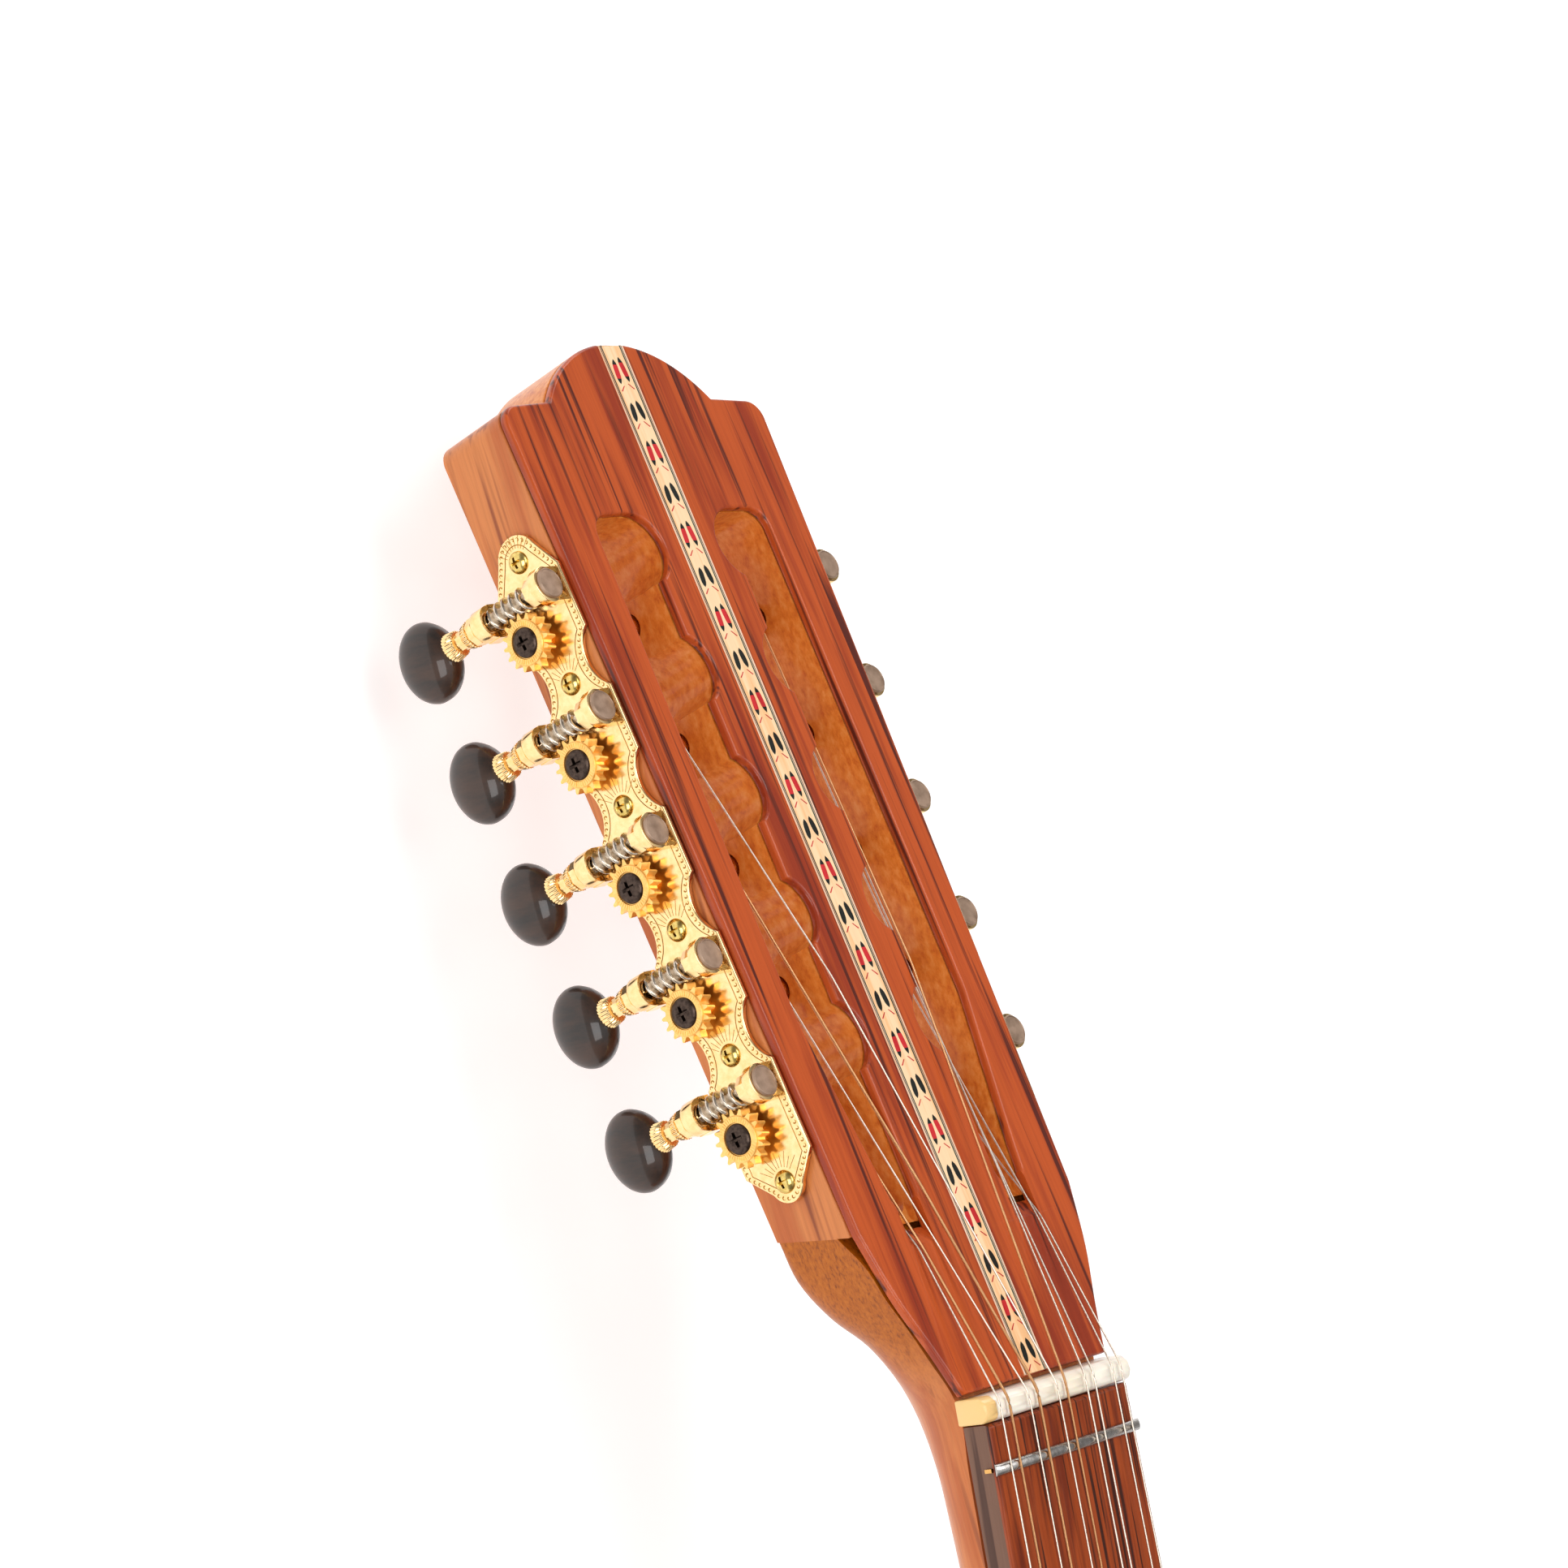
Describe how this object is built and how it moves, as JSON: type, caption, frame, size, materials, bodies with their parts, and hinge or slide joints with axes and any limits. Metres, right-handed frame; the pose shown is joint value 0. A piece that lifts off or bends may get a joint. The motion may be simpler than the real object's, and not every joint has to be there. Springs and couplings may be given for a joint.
{
  "type": "bouzouki",
  "caption": "Flat-backed five-course bouzouki with a slotted headstock, geared tuning machines, floating bridge and tailpiece.",
  "frame": {"origin": "middle of the flat back's outer face", "axes": "+X to the treble side, +Y along the strings towards the headstock, +Z out of the back towards the strings"},
  "size_m": [0.3474, 1.009, 0.1025],
  "materials": {
    "neck_wood": "gloss lacquer over straight-grained cedar or mahogany",
    "body_wood": "gloss lacquer over mahogany",
    "soundboard_wood": "gloss lacquer over spruce",
    "dark_wood": "polished rosewood",
    "inlay": "polished marquetry",
    "bone": "polished bone",
    "fret_metal": "worn nickel silver",
    "gold_metal": "polished gold plate",
    "worm_metal": "satin nickel",
    "button_plastic": "black with a soft sheen",
    "plain_string": "bright drawn steel",
    "wound_string": "bright bronze winding"
  },
  "bodies": {
    "root": {"neck": "neck_wood", "neck_block": "neck_wood", "tail_block": "neck_wood", "back": "body_wood", "sides": "body_wood", "soundboard": "soundboard_wood", "top_brace_upper": "soundboard_wood", "top_brace_lower": "soundboard_wood", "back_brace": "soundboard_wood", "headstock_veneer": "dark_wood", "fretboard": "dark_wood", "bridge": "dark_wood", "headstock_inlay": "inlay", "nut": "bone", "saddle": "bone", "zero_fret": "fret_metal", "machine_plate_left": "gold_metal", "machine_plate_right": "gold_metal", "tailpiece": "gold_metal", "end_pin": "button_plastic", "string_1": "plain_string", "string_2": "wound_string", "string_3": "plain_string", "string_4": "wound_string", "string_5": "plain_string", "string_6": "wound_string", "string_7": "plain_string", "string_8": "plain_string", "string_9": "plain_string", "string_10": "plain_string"},
    "worm_left_1": {"worm_left_1": "worm_metal", "button_left_1": "button_plastic"},
    "post_left_1": {"post_gear_left_1": "gold_metal"},
    "worm_left_2": {"worm_left_2": "worm_metal", "button_left_2": "button_plastic"},
    "post_left_2": {"post_gear_left_2": "gold_metal"},
    "worm_left_3": {"worm_left_3": "worm_metal", "button_left_3": "button_plastic"},
    "post_left_3": {"post_gear_left_3": "gold_metal"},
    "worm_left_4": {"worm_left_4": "worm_metal", "button_left_4": "button_plastic"},
    "post_left_4": {"post_gear_left_4": "gold_metal"},
    "worm_left_5": {"worm_left_5": "worm_metal", "button_left_5": "button_plastic"},
    "post_left_5": {"post_gear_left_5": "gold_metal"},
    "worm_right_1": {"worm_right_1": "worm_metal", "button_right_1": "button_plastic"},
    "post_right_1": {"post_gear_right_1": "gold_metal"},
    "worm_right_2": {"worm_right_2": "worm_metal", "button_right_2": "button_plastic"},
    "post_right_2": {"post_gear_right_2": "gold_metal"},
    "worm_right_3": {"worm_right_3": "worm_metal", "button_right_3": "button_plastic"},
    "post_right_3": {"post_gear_right_3": "gold_metal"},
    "worm_right_4": {"worm_right_4": "worm_metal", "button_right_4": "button_plastic"},
    "post_right_4": {"post_gear_right_4": "gold_metal"},
    "worm_right_5": {"worm_right_5": "worm_metal", "button_right_5": "button_plastic"},
    "post_right_5": {"post_gear_right_5": "gold_metal"}
  },
  "joints": [
    {"name": "worm_left_1_spin", "type": "hinge", "parent": "root", "child": "worm_left_1", "pos_m": [-0.04185, 0.72858, 0.03796], "axis": [0, 0.2588, 0.9659], "continuous": true},
    {"name": "post_left_1_spin", "type": "hinge", "parent": "root", "child": "post_left_1", "pos_m": [-0.03933, 0.7217, 0.03981], "axis": [-0.9995, -0.0298, 0.008], "continuous": true},
    {"name": "worm_left_2_spin", "type": "hinge", "parent": "root", "child": "worm_left_2", "pos_m": [-0.04108, 0.70445, 0.04443], "axis": [0, 0.2588, 0.9659], "continuous": true},
    {"name": "post_left_2_spin", "type": "hinge", "parent": "root", "child": "post_left_2", "pos_m": [-0.03855, 0.69756, 0.04627], "axis": [-0.9995, -0.0298, 0.008], "continuous": true},
    {"name": "worm_left_3_spin", "type": "hinge", "parent": "root", "child": "worm_left_3", "pos_m": [-0.0403, 0.68031, 0.0509], "axis": [0, 0.2588, 0.9659], "continuous": true},
    {"name": "post_left_3_spin", "type": "hinge", "parent": "root", "child": "post_left_3", "pos_m": [-0.03778, 0.67343, 0.05274], "axis": [-0.9995, -0.0298, 0.008], "continuous": true},
    {"name": "worm_left_4_spin", "type": "hinge", "parent": "root", "child": "worm_left_4", "pos_m": [-0.03953, 0.65617, 0.05736], "axis": [0, 0.2588, 0.9659], "continuous": true},
    {"name": "post_left_4_spin", "type": "hinge", "parent": "root", "child": "post_left_4", "pos_m": [-0.03701, 0.64929, 0.05921], "axis": [-0.9995, -0.0298, 0.008], "continuous": true},
    {"name": "worm_left_5_spin", "type": "hinge", "parent": "root", "child": "worm_left_5", "pos_m": [-0.03876, 0.63204, 0.06383], "axis": [0, 0.2588, 0.9659], "continuous": true},
    {"name": "post_left_5_spin", "type": "hinge", "parent": "root", "child": "post_left_5", "pos_m": [-0.03624, 0.62515, 0.06568], "axis": [-0.9995, -0.0298, 0.008], "continuous": true},
    {"name": "worm_right_1_spin", "type": "hinge", "parent": "root", "child": "worm_right_1", "pos_m": [0.04185, 0.72858, 0.03796], "axis": [0, 0.2588, 0.9659], "continuous": true},
    {"name": "post_right_1_spin", "type": "hinge", "parent": "root", "child": "post_right_1", "pos_m": [0.03933, 0.7217, 0.03981], "axis": [0.9995, -0.0298, 0.008], "continuous": true},
    {"name": "worm_right_2_spin", "type": "hinge", "parent": "root", "child": "worm_right_2", "pos_m": [0.04108, 0.70445, 0.04443], "axis": [0, 0.2588, 0.9659], "continuous": true},
    {"name": "post_right_2_spin", "type": "hinge", "parent": "root", "child": "post_right_2", "pos_m": [0.03855, 0.69756, 0.04627], "axis": [0.9995, -0.0298, 0.008], "continuous": true},
    {"name": "worm_right_3_spin", "type": "hinge", "parent": "root", "child": "worm_right_3", "pos_m": [0.0403, 0.68031, 0.0509], "axis": [0, 0.2588, 0.9659], "continuous": true},
    {"name": "post_right_3_spin", "type": "hinge", "parent": "root", "child": "post_right_3", "pos_m": [0.03778, 0.67343, 0.05274], "axis": [0.9995, -0.0298, 0.008], "continuous": true},
    {"name": "worm_right_4_spin", "type": "hinge", "parent": "root", "child": "worm_right_4", "pos_m": [0.03953, 0.65617, 0.05736], "axis": [0, 0.2588, 0.9659], "continuous": true},
    {"name": "post_right_4_spin", "type": "hinge", "parent": "root", "child": "post_right_4", "pos_m": [0.03701, 0.64929, 0.05921], "axis": [0.9995, -0.0298, 0.008], "continuous": true},
    {"name": "worm_right_5_spin", "type": "hinge", "parent": "root", "child": "worm_right_5", "pos_m": [0.03876, 0.63204, 0.06383], "axis": [0, 0.2588, 0.9659], "continuous": true},
    {"name": "post_right_5_spin", "type": "hinge", "parent": "root", "child": "post_right_5", "pos_m": [0.03624, 0.62515, 0.06568], "axis": [0.9995, -0.0298, 0.008], "continuous": true}
  ],
  "couplings": [
    {"joint": "post_left_1_spin", "follows": "worm_left_1_spin", "ratio": 0.0625},
    {"joint": "post_left_2_spin", "follows": "worm_left_2_spin", "ratio": 0.0625},
    {"joint": "post_left_3_spin", "follows": "worm_left_3_spin", "ratio": 0.0625},
    {"joint": "post_left_4_spin", "follows": "worm_left_4_spin", "ratio": 0.0625},
    {"joint": "post_left_5_spin", "follows": "worm_left_5_spin", "ratio": 0.0625},
    {"joint": "post_right_1_spin", "follows": "worm_right_1_spin", "ratio": 0.0625},
    {"joint": "post_right_2_spin", "follows": "worm_right_2_spin", "ratio": 0.0625},
    {"joint": "post_right_3_spin", "follows": "worm_right_3_spin", "ratio": 0.0625},
    {"joint": "post_right_4_spin", "follows": "worm_right_4_spin", "ratio": 0.0625},
    {"joint": "post_right_5_spin", "follows": "worm_right_5_spin", "ratio": 0.0625}
  ]
}
